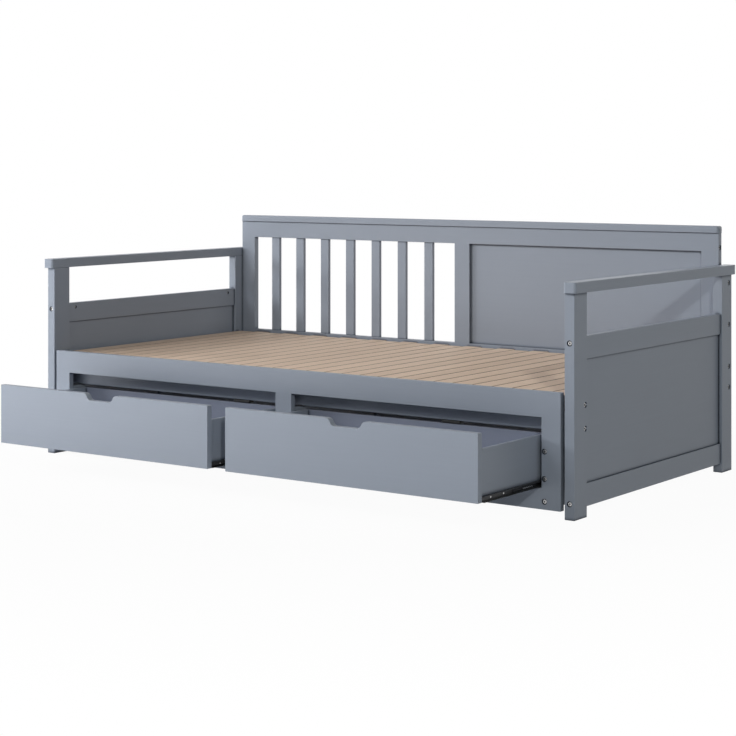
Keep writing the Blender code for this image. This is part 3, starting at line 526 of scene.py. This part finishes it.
def rounded_cap(low, high):
    """A cap rail: upright edges well rounded, top edges less, lower edges only eased.

    The backrest's, along X, has well rounded top edges at its ends too.
    """
    work = box_work(low, high)
    weights = work.edges.layers.float.new("bevel_weight_edge")
    middle = (low.z + high.z) / 2
    along_x = longest_axis(low, high) == "X"
    for edge in work.edges:
        above = sum(vert.co.z > middle for vert in edge.verts)
        radius = (BOARD_EDGE, CAP_CORNER, BACK_CAP_EDGE if along_x else ARM_CAP_EDGE)[above]
        if above == 2 and along_x and edge.verts[0].co.x == edge.verts[1].co.x:
            radius = CAP_CORNER
        edge[weights] = radius / CAP_CORNER
    mesh = mesh_of("cap", work)
    piece = bpy.data.objects.new("cap", mesh)
    eased = piece.modifiers.new("eased_edges", "BEVEL")
    eased.limit_method = "WEIGHT"
    eased.width = CAP_CORNER
    eased.segments = CAP_STEPS
    work = bmesh.new()
    work.from_mesh(settled(piece))
    return work


def settled(piece, *others):
    """The mesh that an object's modifiers make; the object and its helpers are then deleted."""
    for item in (piece, *others):
        bpy.context.scene.collection.objects.link(item)
    bpy.context.view_layer.update()
    made = bpy.data.meshes.new_from_object(piece.evaluated_get(bpy.context.evaluated_depsgraph_get()))
    for item in (piece, *others):
        bpy.data.objects.remove(item, do_unlink=True)
    return made


def mesh_of(name, *works, marks_edges=True):
    """One mesh of several worked shapes; the faces that round an edge are marked, for edge wear, painted
    highlight and painted shade.
    """
    whole = bmesh.new()
    for work in works:
        part = bpy.data.meshes.new("part")
        work.to_mesh(part)
        work.free()
        whole.from_mesh(part)
        bpy.data.meshes.remove(part)
    edge_mark = whole.faces.layers.float.new("edge_mark")
    whole.normal_update()
    for face in whole.faces:
        face[edge_mark] = float(marks_edges and max(abs(part) for part in face.normal) < FLAT_LIMIT)
    mesh = bpy.data.meshes.new(name)
    whole.to_mesh(mesh)
    whole.free()
    return mesh


def lathe(profile, sides=ROUND_SIDES):
    """A closed solid turned about Z from radii and heights that start and end on the axis."""
    work = bmesh.new()
    points = [work.verts.new((radius, 0, height)) for radius, height in profile]
    edges = [work.edges.new(pair) for pair in zip(points, points[1:])]
    bmesh.ops.spin(work, geom=points + edges, cent=(0, 0, 0), axis=(0, 0, 1), angle=math.tau,
                   steps=sides, use_merge=True)
    bmesh.ops.remove_doubles(work, verts=work.verts, dist=WELD)
    bmesh.ops.recalc_face_normals(work, faces=work.faces)
    return work


def standing(place, direction):
    """The matrix that stands a Z-wise shape at a place, with Z along a direction."""
    return Matrix.Translation(place) @ Vector((0, 0, 1)).rotation_difference(direction).to_matrix().to_4x4()


def placed_copies(mesh, places):
    """Copies of a mesh, one at each matrix, as worked shapes."""
    made = []
    for matrix in places:
        work = bmesh.new()
        work.from_mesh(mesh)
        bmesh.ops.transform(work, matrix=matrix, verts=work.verts)
        made.append(work)
    return made


def cut(mesh, cutters):
    """A mesh with the cutters' spaces taken out of it."""
    if not cutters:
        return mesh
    piece = bpy.data.objects.new("cut_piece", mesh)
    tools = [bpy.data.objects.new("cutter", cutter) for cutter in cutters]
    for tool in tools:
        hole = piece.modifiers.new("hole", "BOOLEAN")
        hole.solver = "EXACT"
        hole.operation = "DIFFERENCE"
        hole.object = tool
    return settled(piece, *tools)


def show(name, mesh, material, body, stands_for=()):
    """A mesh as a finished piece of the daybed that rides on a body."""
    mesh.materials.clear()
    mesh.materials.append(material)
    mesh.shade_smooth()
    mesh.set_sharp_from_angle(angle=SMOOTH_LIMIT)
    piece = bpy.data.objects.new(name, mesh)
    bpy.context.scene.collection.objects.link(piece)
    weighted = piece.modifiers.new("face_weighted_shading", "WEIGHTED_NORMAL")
    weighted.keep_sharp = True
    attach(piece, body)
    if stands_for:
        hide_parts(*stands_for)
    return piece


# Hardware


def side_names():
    """Each side's name and the sign of its X."""
    return (("left", -1), ("right", 1))


def frame_bolts():
    """Each bolt of the fixed frame: where it enters, its way in, how far its nut is, the nut's way out."""
    beam_low, beam_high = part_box("front_beam")
    beam_middle = (beam_low.y + beam_high.y) / 2
    stile_low, stile_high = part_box("backrest_left_stile")
    back_middle = (stile_low.y + stile_high.y) / 2
    ahead = AXES["Y"]
    found = []
    for label, side in side_names():
        front_low, front_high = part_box(label + "_front_post")
        rear_low, rear_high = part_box(label + "_rear_post")
        inward = Vector((-side, 0, 0))
        middle = (front_low.x + front_high.x) / 2
        outer = side * max(abs(front_low.x), abs(front_high.x))
        depth = front_high.y - front_low.y
        width = front_high.x - front_low.x
        heights = (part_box(label + "_arm_upper_rail")[1].z - ARM_BOLT_BELOW_TOP,
                   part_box(label + "_arm_lower_rail")[0].z + ARM_BOLT_ABOVE_BOTTOM)
        for height in heights:
            found.append((Vector((middle, front_low.y, height)), ahead, depth, inward))
            found.append((Vector((middle, rear_high.y, height)), -ahead, depth, inward))
        for height in (beam_high.z - BEAM_BOLT_FROM_EDGE, beam_low.z + BEAM_BOLT_FROM_EDGE):
            found.append((Vector((outer, beam_middle, height)), inward, width, ahead))
        for height in BACK_BOLT_HEIGHTS:
            found.append((Vector((outer, back_middle, height)), inward, width, ahead))
        end = side * max(abs(stile_low.x), abs(stile_high.x))
        seat = Vector((end, back_middle, BACK_TOP_BOLT_HEIGHT))
        found.append((seat, inward, stile_high.x - stile_low.x, ahead))
    return found


def face_screws():
    """Where each screw of the pull-out face enters, and its way in."""
    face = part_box("pullout_left_stile")[0].y
    found = []
    for board in ("left", "centre_left", "centre_right", "right"):
        low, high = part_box("drawer_support_" + board)
        for height in FACE_SCREW_HEIGHTS:
            found.append((Vector(((low.x + high.x) / 2, face, height)), AXES["Y"]))
    return found


def head_mesh():
    """A low round bolt head with a hexagon socket, its top at the origin."""
    low = -HEAD_HEIGHT
    rim = HEAD_RADIUS - HEAD_ROUND
    soft = HEAD_ROUND * HEAD_SOFT_SHARE
    head = mesh_of("head", lathe([(0, 0), (rim, 0), (HEAD_RADIUS - soft, -soft), (HEAD_RADIUS, -HEAD_ROUND),
                                  (HEAD_RADIUS, low), (0, low)]))
    socket = mesh_of("socket", lathe([(0, OVERRUN), (SOCKET_RADIUS, OVERRUN), (SOCKET_RADIUS, -SOCKET_DEPTH),
                                      (0, -SOCKET_DEPTH * SOCKET_CONE_SHARE)], sides=SOCKET_SIDES))
    return cut(head, [socket])


def nut_mesh():
    """A barrel nut about its middle, with a screwdriver slot in each end."""
    half = NUT_LENGTH / 2
    rim = NUT_RADIUS - HEAD_ROUND / 2
    body = mesh_of("nut", lathe([(0, half), (rim, half), (NUT_RADIUS, half - HEAD_ROUND / 2),
                                 (NUT_RADIUS, HEAD_ROUND / 2 - half), (rim, -half), (0, -half)]))
    slot_half = NUT_SLOT_WIDTH / 2
    reach = NUT_RADIUS + OVERRUN
    ends = ((half - NUT_SLOT_DEPTH, half + OVERRUN), (-half - OVERRUN, NUT_SLOT_DEPTH - half))
    slots = [box_work((-reach, -slot_half, bottom), (reach, slot_half, top)) for bottom, top in ends]
    return cut(body, [mesh_of("slots", *slots)])


def cylinder_between(start, end, radius):
    """A cylinder from one point to another, to cut with."""
    way = end - start
    work = lathe([(0, way.length), (radius, way.length), (radius, 0), (0, 0)])
    bmesh.ops.transform(work, matrix=standing(start, way.normalized()), verts=work.verts)
    return work


def all_holes(bolts, screws):
    """The recesses of the heads and the holes of the nuts, each as a start, an end and a radius."""
    found = []
    for seat, way_in, *_ in [*bolts, *screws]:
        found.append((seat + way_in * RECESS_DEPTH, seat - way_in * OVERRUN, RECESS_RADIUS))
    for seat, way_in, through, nut_out in bolts:
        middle = seat + way_in * (through + NUT_REACH)
        found.append((middle - nut_out * (NUT_LENGTH / 2), middle + nut_out * NUT_HOLE_OUT, NUT_HOLE_RADIUS))
    return found


def holes_in(holes, low, high):
    """The holes that enter a box, as one cutter, or nothing."""
    works = []
    for start, end, radius in holes:
        if all(low[axis] - OVERRUN < start[axis] < high[axis] + OVERRUN for axis in range(3)):
            works.append(cylinder_between(start, end, radius))
    return [mesh_of("holes", *works, marks_edges=False)] if works else []


def add_hardware(bolts, screws):
    """Bolt heads, barrel nuts and face screws, each set as one piece on its body; their material."""
    # Zinc with painted shade in its recesses, for bolt heads, nuts and stop screws.
    zinc = zinc_steel("zinc_steel", True)
    head = head_mesh()
    for name, seats, body in (("frame_bolts", bolts, "bed_frame"), ("face_screws", screws, "pullout_frame")):
        places = [standing(seat + way_in * HEAD_BELOW, -way_in) for seat, way_in, *_ in seats]
        show(name, mesh_of(name, *placed_copies(head, places)), zinc, body)
    places = [standing(seat + way_in * (through + NUT_REACH), nut_out)
              for seat, way_in, through, nut_out in bolts]
    nuts = mesh_of("barrel_nuts", *placed_copies(nut_mesh(), places))
    show("barrel_nuts", nuts, zinc, "bed_frame")
    return zinc


# Boards


def groove_of(panel):
    """The corners of a panel's groove, which is wider than the panel across its thickness."""
    low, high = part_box(panel)
    thin = min(high - low)
    more = Vector([GROOVE_GAP if size == thin else GROOVE_END_GAP for size in high - low])
    return low - more, high + more


def overlaps(low, high, other_low, other_high):
    """Whether two boxes share any space."""
    return all(low[axis] < other_high[axis] and other_low[axis] < high[axis] for axis in range(3))


def longest_axis(low, high):
    """The name of the axis along which a box is longest."""
    size = high - low
    return max(AXES, key=lambda name: abs(size.dot(AXES[name])))


def cutters_for(low, high, grooves, holes):
    """The grooves and holes that enter a box."""
    found = [mesh_of("groove", box_work(start, end)) for start, end in grooves
             if overlaps(low, high, start, end)]
    return found + holes_in(holes, low, high)


def add_boards(names, body_of, paints, grooves, holes):
    """Each painted board anew: rounded edges, its grooves, and the holes that enter it."""
    for name in names:
        low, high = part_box(name)
        edge = BEAM_EDGE if name == "front_beam" else BOARD_EDGE
        mesh = cut(mesh_of(name, rounded_box(low, high, edge)), cutters_for(low, high, grooves, holes))
        # Drawer backs take the darker copy of the paint, which paints in their shade.
        look = paints["inside"] if name.endswith("drawer_back") else paints[longest_axis(low, high)]
        show(name + "_board", mesh, look, body_of[name], [name])


def add_frames(body_of, paints, grooves, holes):
    """The pull-out face and the backrest, whose joints are painted over and don't show."""
    for group in ("pullout", "backrest"):
        names = [f"{group}_{part}" for part in FRAME_BOARDS]
        boxes = {part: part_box(f"{group}_{part}") for part in FRAME_BOARDS}
        low = Vector([min(box[0][axis] for box in boxes.values()) for axis in range(3)])
        high = Vector([max(box[1][axis] for box in boxes.values()) for axis in range(3)])
        sill, head = boxes["bottom_rail"][1].z, boxes["top_rail"][0].z
        openings = [(boxes["left_stile"][1].x, boxes["centre_stile"][0].x, sill, head),
                    (boxes["centre_stile"][1].x, boxes["right_stile"][0].x, sill, head)]
        mesh = mesh_of(group, frame_work(low, high, openings, BOARD_EDGE))
        mesh = cut(mesh, cutters_for(low, high, grooves, holes))
        show(group + "_frame", mesh, paints["X"], body_of[names[0]], names)


def add_panels(names, body_of, paints):
    """The thin panels and drawer bottoms in their grooves, their edges barely eased."""
    for name in names:
        low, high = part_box(name)
        mesh = mesh_of(name, rounded_box(low, high, PANEL_EDGE, 1))
        show(name + "_sheet", mesh, paints[longest_axis(low, high)], body_of[name], [name])


def add_caps(names, body_of, paints):
    """The cap rails of the arms and the backrest."""
    for name in names:
        low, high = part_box(name)
        show(name + "_rail", mesh_of(name, rounded_cap(low, high)), paints[longest_axis(low, high)],
             body_of[name], [name])


def add_backrest_slats(paints):
    """The upright slats between the rails of the backrest's left half."""
    low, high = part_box("backrest_slats")
    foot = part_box("backrest_bottom_rail")[1].z + PLANK_GAP
    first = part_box("backrest_left_stile")[1].x + BACK_SLAT_FIRST_GAP
    works = []
    for index in range(BACK_SLAT_COUNT):
        left = first + index * BACK_SLAT_PITCH
        start = Vector((left, low.y, foot))
        end = Vector((left + BACK_SLAT_WIDTH, high.y, high.z))
        works.append(rounded_box(start, end, BOARD_EDGE))
    show("backrest_upright_slats", mesh_of("backrest_upright_slats", *works), paints["Z"], "bed_frame",
         ["backrest_slats"])


def arc(corner, before, after, radius):
    """Points round a corner of an outline."""
    to_before, to_after = (before - corner).normalized(), (after - corner).normalized()
    half = to_before.angle(to_after) / 2
    centre = corner + (to_before + to_after).normalized() * (radius / math.sin(half))
    start = corner + to_before * (radius / math.tan(half)) - centre
    turn = (math.pi - 2 * half) * (1 if to_before.cross(to_after) < 0 else -1)
    points = []
    for step in range(NOTCH_STEPS + 1):
        spoke = start.copy()
        spoke.rotate(Matrix.Rotation(turn * step / NOTCH_STEPS, 2))
        points.append(centre + spoke)
    return points


def drawer_front_work(low, high):
    """A drawer front with its finger notch, cut from one board and rounded all round."""
    middle = (low.x + high.x) / 2
    top_half, bottom_half = NOTCH_TOP_WIDTH / 2, NOTCH_BOTTOM_WIDTH / 2
    floor = high.z - NOTCH_DEPTH
    dip = [Vector((middle + top_half, high.z)), Vector((middle + bottom_half, floor)),
           Vector((middle - bottom_half, floor)), Vector((middle - top_half, high.z))]
    outline = [Vector((low.x, low.z)), Vector((high.x, low.z)), Vector((high.x, high.z))]
    rim = [outline[-1], *dip, Vector((low.x, high.z))]
    for before, corner, after in zip(rim, rim[1:], rim[2:]):
        outline += arc(corner, before, after, NOTCH_RADIUS)
    outline.append(rim[-1])
    work = bmesh.new()
    work.faces.new([work.verts.new((point.x, low.y, point.y)) for point in outline])
    return thickened(work, high.y - low.y, BOARD_EDGE)


def add_drawer_fronts(paints):
    """Both drawers' fronts."""
    for label, _ in side_names():
        low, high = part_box(label + "_drawer_front")
        mesh = mesh_of(label + "_drawer_front", drawer_front_work(low, high))
        show(label + "_drawer_front_board", mesh, paints["X"], label + "_drawer",
             [label + "_drawer_front"])


# Decks


def add_deck(name, node, body, offset, bearers, woods):
    """Every second slat of the deck as planks, and the bearers that carry them.

    The offset is the first slat's number. A bearer has its start and end in Y and its inset at each end.
    """
    low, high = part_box(node)
    top = high.z
    works = []
    left = SLAT_FIRST_LEFT + offset * SLAT_PITCH
    while left < high.x - SLAT_WIDTH / 2:
        works.append(rounded_box(Vector((left, low.y, top - SLAT_THICKNESS)),
                                 Vector((left + SLAT_WIDTH, high.y, top)), SLAT_EDGE))
        left += 2 * SLAT_PITCH
    show(name, mesh_of(name, *works), woods["Y"], body, [node])
    for bearer, (start, end, inset) in bearers.items():
        bearer_top = top - SLAT_THICKNESS - PLANK_GAP
        box = rounded_box(Vector((low.x + inset, start, bearer_top - BEARER_HEIGHT)),
                          Vector((high.x - inset, end, bearer_top)), BOARD_EDGE)
        show(bearer, mesh_of(bearer, box), woods["X"], body, [node])


def add_decks(woods):
    """The fixed slats on their ledge, and the moving ones on their cleat and rear bar."""
    low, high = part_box("moving_deck_slats")
    bar_end = high.y - REAR_BAR_BEFORE_END
    bearers = {"moving_front_cleat": (low.y, low.y + CLEAT_DEPTH, CLEAT_END_GAP),
               "moving_rear_bar": (bar_end - REAR_BAR_DEPTH, bar_end, 0.0)}
    add_deck("moving_slats", "moving_deck_slats", "pullout_frame", 0, bearers, woods)
    low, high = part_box("fixed_deck_slats")
    bearers = {"fixed_rear_ledge": (high.y - LEDGE_DEPTH, high.y, 0.0)}
    add_deck("fixed_slats", "fixed_deck_slats", "bed_frame", 1, bearers, woods)


# Stops, slides and carried-over solids


def add_stop_blocks(plastic, zinc):
    """The two stops under the front beam, each with two screws."""
    low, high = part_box("front_beam")
    middle = (low.y + high.y) / 2
    top = low.z - PLANK_GAP
    half = Vector(STOP_SIZE) / 2
    blocks, heads = [], []
    for place in STOP_PLACES:
        centre = Vector((place, middle, top - half.z))
        blocks.append(rounded_box(centre - half, centre + half, STOP_EDGE))
        for side in (-1, 1):
            under = centre + Vector((side * half.x / 2, 0, -half.z))
            shrunk = Matrix.Translation(under) @ Matrix.Diagonal((*STOP_SCREW_SHARES, 1))
            heads.append(shrunk @ standing(Vector((0, 0, -HEAD_ROUND)), -AXES["Z"]))
    show("stop_blocks", mesh_of("stop_blocks", *blocks), plastic, "bed_frame")
    screws = mesh_of("stop_screws", *placed_copies(head_mesh(), heads))
    show("stop_block_screws", screws, zinc, "bed_frame")


def wave_work(start, end, web, height):
    """A thin wavy retainer along Y that lies on a slide's web, as a solid ribbon."""
    steps = SLIDE_SPRING_WAVES * SLIDE_SPRING_STEPS
    work = bmesh.new()
    rows = []
    for index in range(steps + 1):
        share = index / steps
        y = start + (end - start) * share
        z = height + SLIDE_SPRING_HEIGHT / 2 * math.sin(share * SLIDE_SPRING_WAVES * math.tau)
        half = SLIDE_SPRING_WIDTH / 2
        rows.append([work.verts.new((x, y, z + rise)) for x, rise in
                     ((web[0], -half), (web[1], -half), (web[1], half), (web[0], half))])
    for row, following in zip(rows, rows[1:]):
        for index in range(4):
            after = (index + 1) % 4
            work.faces.new((row[index], row[after], following[after], following[index]))
    work.faces.new(rows[0])
    work.faces.new(rows[-1][::-1])
    bmesh.ops.recalc_face_normals(work, faces=work.faces)
    return work


def add_slide_details(zinc):
    """Screw heads in each drawer member and a retainer in each middle member."""
    screw_top = SLIDE_SCREW_RADIUS * SLIDE_SCREW_TOP_SHARE
    for label, side in side_names():
        screws, springs = [], []
        for place, way in (("outer", side), ("inner", -side)):
            low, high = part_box(f"{label}_{place}_slide_drawer_member")
            web = low.x + SLIDE_STEEL if way > 0 else high.x - SLIDE_STEEL
            height = (low.z + high.z) / 2
            for along in SLIDE_SCREW_PLACES:
                disc = lathe([(0, SLIDE_SCREW_THICKNESS), (screw_top, SLIDE_SCREW_THICKNESS),
                              (SLIDE_SCREW_RADIUS, 0), (0, 0)], sides=SLIDE_SCREW_SIDES)
                matrix = standing(Vector((web, low.y + along, height)), Vector((way, 0, 0)))
                bmesh.ops.transform(disc, matrix=matrix, verts=disc.verts)
                screws.append(disc)
            low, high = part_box(f"{label}_{place}_slide_middle_member")
            face = low.x + SLIDE_STEEL if way > 0 else high.x - SLIDE_STEEL
            near = face + way * SLIDE_SPRING_LIFT
            far = near + way * SLIDE_SPRING_THICKNESS
            springs.append(wave_work(low.y + SLIDE_SPRING_PLACES[0], low.y + SLIDE_SPRING_PLACES[1],
                                     (near, far), (low.z + high.z) / 2 - SLIDE_SPRING_BELOW_MIDDLE))
        show(label + "_slide_screws", mesh_of(label + "_slide_screws", *screws), zinc, label + "_drawer")
        show(label + "_slide_retainers", mesh_of(label + "_slide_retainers", *springs), zinc,
             label + "_slide_middles")


def finish_carried_over(nodes, materials):
    """The CAD nodes that stay as they are, each with a finish."""
    for name, piece in nodes.items():
        if piece.hide_render:
            continue
        material = materials["steel"] if "slide" in name or "bracket" in name else materials["plastic"]
        piece.data.materials.clear()
        piece.data.materials.append(material)


# Stage and light


def make_floor():
    """A pale floor that shows near white to the camera and keeps the daybed's shadow."""
    made, tree, shader = new_material("studio_floor")
    tree.nodes.remove(shader)
    place = object_place(tree)
    tone = blend(tree, noise(tree, place, scale=0.8), *FLOOR_TONES)
    matt = add(tree, "BsdfDiffuse", None, {"Color": tone}).outputs[0]
    white = add(tree, "Emission", None, {"Color": WHITE, "Strength": 1.0}).outputs[0]
    far = add(tree, "VectorMath", {"operation": "LENGTH"}, {0: place}).outputs["Value"]
    share = spread(tree, far, (FLOOR_NEAR, FLOOR_FAR), (FLOOR_SHOWN_WHITE, 1.0))
    shown = add(tree, "MixShader", None, {0: share, 1: matt, 2: white}).outputs[0]
    whole = add(tree, "MixShader", None, {0: shown_by_eye(tree), 1: matt, 2: shown}).outputs[0]
    tree.links.new(whole, tree.nodes["Material Output"].inputs["Surface"])
    half = FLOOR_SIZE / 2
    mesh = bpy.data.meshes.new("studio_floor")
    corners = [(-half, -half, 0), (half, -half, 0), (half, half, 0), (-half, half, 0)]
    mesh.from_pydata(corners, [], [(0, 1, 2, 3)])
    mesh.materials.append(made)
    floor = bpy.data.objects.new("studio_floor", mesh)
    bpy.context.scene.collection.objects.link(floor)


def make_world():
    """White to the camera and in reflections, and a plain soft light for everything else."""
    world = bpy.data.worlds.new("studio")
    bpy.context.scene.world = world
    world.use_nodes = True
    tree = world.node_tree
    tree.nodes.clear()
    soft = add(tree, "Background", None, {"Color": (*AMBIENT, 1), "Strength": 1.0}).outputs[0]
    white = add(tree, "Background", None, {"Color": WHITE, "Strength": 1.0}).outputs[0]
    whole = add(tree, "MixShader", None, {0: shown_by_eye(tree), 1: soft, 2: white}).outputs[0]
    output = add(tree, "OutputWorld")
    tree.links.new(whole, output.inputs["Surface"])


def make_lamps():
    """The soft lamps, aimed at their targets and hidden from the camera."""
    for name, place, target, size, watts, colour in LAMPS:
        data = bpy.data.lights.new(name, "AREA")
        data.shape = "RECTANGLE"
        data.size, data.size_y = size
        data.energy = watts
        data.color = colour
        lamp = bpy.data.objects.new(name, data)
        lamp.location = place
        lamp.rotation_euler = (Vector(target) - Vector(place)).to_track_quat("-Z", "Y").to_euler()
        lamp.visible_camera = False
        bpy.context.scene.collection.objects.link(lamp)


def make_camera():
    """A level camera with the photograph's view."""
    data = bpy.data.cameras.new("camera")
    data.sensor_width = CAMERA_SENSOR
    data.lens = CAMERA_LENS
    data.shift_x, data.shift_y = CAMERA_SHIFT
    camera = bpy.data.objects.new("camera", data)
    camera.location = CAMERA_PLACE
    camera.rotation_euler = Euler((math.pi / 2, 0, CAMERA_TURN))
    bpy.context.scene.collection.objects.link(camera)
    bpy.context.scene.camera = camera


def main():
    """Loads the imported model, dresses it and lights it."""
    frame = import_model()
    record = frame["record"]
    body_of = {node: body for body, nodes in record["behaviour"]["bodies"].items() for node in nodes}
    painted = [part["node"] for part in record["subparts"] if part["material_slot"] == "painted_wood"]

    paints = {axis: paint(axis, "painted_wood_" + axis.lower(), PAINT) for axis in AXES}
    # A darker copy of the paint for the drawer backs: painted shade.
    paints["inside"] = paint("X", "painted_wood_inside", PAINT_SHADED_INSIDE)
    woods = {"X": raw_wood("X", "raw_wood_along_x"), "Y": raw_wood("Y", "slat_wood")}
    others = {"steel": black_steel(), "plastic": black_plastic()}

    bolts, screws = frame_bolts(), face_screws()
    holes = all_holes(bolts, screws)
    panels = [name for name in painted if name.endswith(("panel", "drawer_bottom"))]
    caps = [name for name in painted if name.endswith("cap")]
    framed = {f"{group}_{part}" for group in ("pullout", "backrest") for part in FRAME_BOARDS}
    special = {*panels, *caps, *framed, "backrest_slats", "left_drawer_front", "right_drawer_front"}
    grooves = [groove_of(name) for name in panels]
    add_boards([name for name in painted if name not in special], body_of, paints, grooves, holes)
    add_frames(body_of, paints, grooves, holes)
    add_panels(panels, body_of, paints)
    add_caps(caps, body_of, paints)
    add_backrest_slats(paints)
    add_drawer_fronts(paints)
    add_decks(woods)
    zinc = add_hardware(bolts, screws)
    add_stop_blocks(others["plastic"], zinc)
    # The slide screws and retainers take zinc without the painted recess shade.
    add_slide_details(zinc_steel("zinc_steel_without_recess_shade", False))
    finish_carried_over(frame["nodes"], others)

    make_floor()
    make_world()
    make_lamps()
    make_camera()
    bpy.context.scene.view_settings.view_transform = "Standard"


main()
